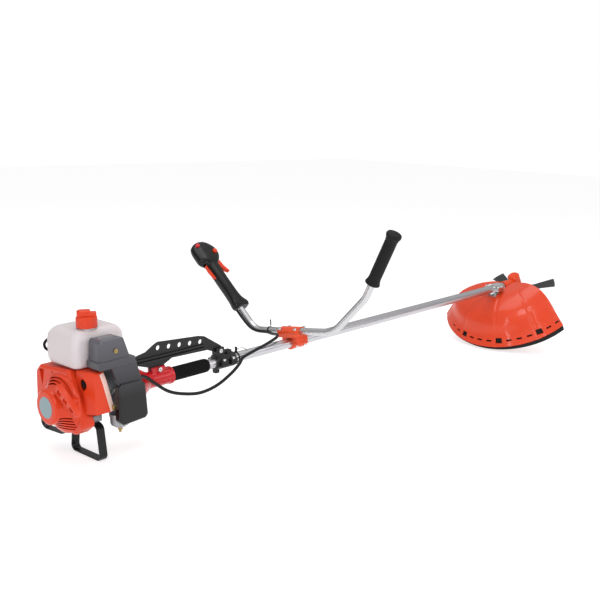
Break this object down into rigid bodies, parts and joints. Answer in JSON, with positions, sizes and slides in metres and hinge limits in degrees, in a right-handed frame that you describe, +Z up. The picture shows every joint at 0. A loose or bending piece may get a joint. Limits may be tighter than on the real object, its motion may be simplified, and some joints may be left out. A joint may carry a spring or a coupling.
{
  "type": "brush cutter",
  "caption": "Shaft-drive petrol brush cutter with a wide two-hand handlebar, toothed metal blade, bell guard, harness bracket and an engine on a foot strap.",
  "frame": {"origin": "on the ground, at the middle of the engine stand's foot", "axes": "+X along the drive tube from the engine to the blade, +Z up, +Y towards the muffler and the throttle grip"},
  "size_m": [1.944, 0.757, 0.5259],
  "materials": {
    "cast_aluminium": "as-cast aluminium, slightly rough",
    "silver_tube": "satin drawn tube, fine lengthwise brushing",
    "ground_steel": "ground and oiled steel",
    "zinc_steel": "bright zinc-plated screws and pressed clamp",
    "cast_iron": "dull dark cast iron",
    "brass": "turned brass, lightly dulled",
    "orange_plastic": "glossy orange moulded plastic",
    "orange_paint": "glossy orange enamel over castings and pressed steel",
    "red_paint": "glossy red enamel over a casting",
    "black_paint": "semi-gloss black enamel",
    "black_plastic": "glossy black moulded plastic",
    "grey_plastic": "glossy dark grey moulded plastic",
    "tank_plastic": "milky translucent blow-moulded plastic",
    "black_rubber": "moulded black rubber and foam",
    "white_plastic": "off-white nylon and ceramic",
    "filter_foam": "open green-grey filter foam",
    "red_plastic": "glossy red button plastic",
    "blade_paint": "matt black coated spring steel"
  },
  "bodies": {
    "chassis": {"crankcase": "cast_aluminium", "ball_bearings": "ground_steel", "cylinder": "cast_aluminium", "spark_plug": "white_plastic", "spark_plug_cap": "black_rubber", "ignition_coil": "black_plastic", "starter_housing": "orange_plastic", "starter_rope": "white_plastic", "cylinder_cover": "orange_plastic", "carburettor": "cast_aluminium", "float_bowl": "cast_aluminium", "drain_screw": "brass", "air_duct": "grey_plastic", "air_filter": "filter_foam", "air_cleaner_cover": "grey_plastic", "cover_screw": "brass", "fuel_tank": "tank_plastic", "fuel_hose": "black_rubber", "muffler": "cast_iron", "muffler_guard": "black_paint", "stand": "black_paint", "clutch_case": "red_paint", "drive_tube": "silver_tube", "shaft_bushes": "black_rubber", "foam_grip": "black_rubber", "harness_bracket": "black_paint", "bracket_clamp": "black_paint", "clamp_bolts": "zinc_steel", "handle_clamp_base": "orange_paint", "handle_clamp_cap": "orange_paint", "handle_clamp_lower": "orange_paint", "handlebar": "silver_tube", "plain_grip": "black_rubber", "throttle_grip_inner": "black_plastic", "throttle_grip_outer": "black_plastic", "throttle_cable": "black_rubber", "cable_ties": "black_plastic", "gear_case": "orange_paint", "guard": "orange_plastic", "guard_skirt": "black_rubber", "guard_clamp": "zinc_steel"},
    "crank": {"crankshaft": "ground_steel", "flywheel": "cast_aluminium"},
    "shoe_a": {"clutch_shoe_a": "cast_iron"},
    "shoe_b": {"clutch_shoe_b": "cast_iron"},
    "drive": {"drive_shaft": "ground_steel", "clutch_drum": "ground_steel", "drive_pinion": "ground_steel"},
    "cutter": {"blade_arbor": "ground_steel", "blade_holder": "zinc_steel", "blade": "blade_paint", "blade_nut": "zinc_steel"},
    "pull": {"starter_grip": "orange_plastic"},
    "reel": {"starter_reel": "white_plastic"},
    "cap": {"fuel_cap": "orange_plastic"},
    "trigger": {"throttle_trigger": "orange_plastic"},
    "slide": {"throttle_slide": "brass"},
    "lockout": {"lockout_lever": "orange_plastic"},
    "stop_key": {"stop_button": "red_plastic"},
    "lock_key": {"lock_button": "orange_plastic"}
  },
  "joints": [
    {"name": "engine_spin", "type": "hinge", "parent": "chassis", "child": "crank", "pos_m": [0, 0, 0.135], "axis": [1, 0, 0], "continuous": true},
    {"name": "clutch_shoe_a_swing", "type": "hinge", "parent": "crank", "child": "shoe_a", "pos_m": [0.099, 0, 0.11], "axis": [-1, 0, 0], "range_deg": [0, 2]},
    {"name": "clutch_shoe_b_swing", "type": "hinge", "parent": "crank", "child": "shoe_b", "pos_m": [0.099, 0, 0.16], "axis": [-1, 0, 0], "range_deg": [0, 2]},
    {"name": "shaft_spin", "type": "hinge", "parent": "chassis", "child": "drive", "pos_m": [0.3, 0, 0.135], "axis": [1, 0, 0], "continuous": true},
    {"name": "blade_spin", "type": "hinge", "parent": "chassis", "child": "cutter", "pos_m": [1.747, 0, 0.135], "axis": [-0.5, 0, 0.866], "continuous": true},
    {"name": "starter_pull", "type": "slide", "parent": "chassis", "child": "pull", "axis": [-1, 0, 0], "range_m": [0, 0.6]},
    {"name": "starter_reel_spin", "type": "hinge", "parent": "chassis", "child": "reel", "pos_m": [-0.085, 0, 0.135], "axis": [1, 0, 0], "range_deg": [0, 1432.4]},
    {"name": "fuel_cap_turn", "type": "hinge", "parent": "chassis", "child": "cap", "pos_m": [-0.008, -0.026, 0.31], "axis": [0, 0, 1], "range_deg": [0, 540]},
    {"name": "throttle_trigger_press", "type": "hinge", "parent": "chassis", "child": "trigger", "pos_m": [0.678, 0.34545, 0.31308], "axis": [0, 0.6527, -0.7576], "range_deg": [0, 12]},
    {"name": "throttle_slide_lift", "type": "slide", "parent": "chassis", "child": "slide", "axis": [0, 0, 1], "range_m": [0, 0.012]},
    {"name": "lockout_lever_press", "type": "hinge", "parent": "chassis", "child": "lockout", "pos_m": [0.639, 0.29545, 0.27001], "axis": [0, 0.6527, -0.7576], "range_deg": [0, 5]},
    {"name": "stop_button_press", "type": "slide", "parent": "chassis", "child": "stop_key", "axis": [0, 0.6527, -0.7576], "range_m": [0, 0.003]},
    {"name": "lock_button_press", "type": "slide", "parent": "chassis", "child": "lock_key", "axis": [0, 0.6527, -0.7576], "range_m": [0, 0.003]}
  ],
  "couplings": [
    {"joint": "clutch_shoe_b_swing", "follows": "clutch_shoe_a_swing", "ratio": 1},
    {"joint": "shaft_spin", "follows": "blade_spin", "ratio": 1.3742},
    {"joint": "starter_reel_spin", "follows": "starter_pull", "rad_per_m": 41.667},
    {"joint": "throttle_slide_lift", "follows": "throttle_trigger_press", "m_per_rad": 0.0573}
  ]
}
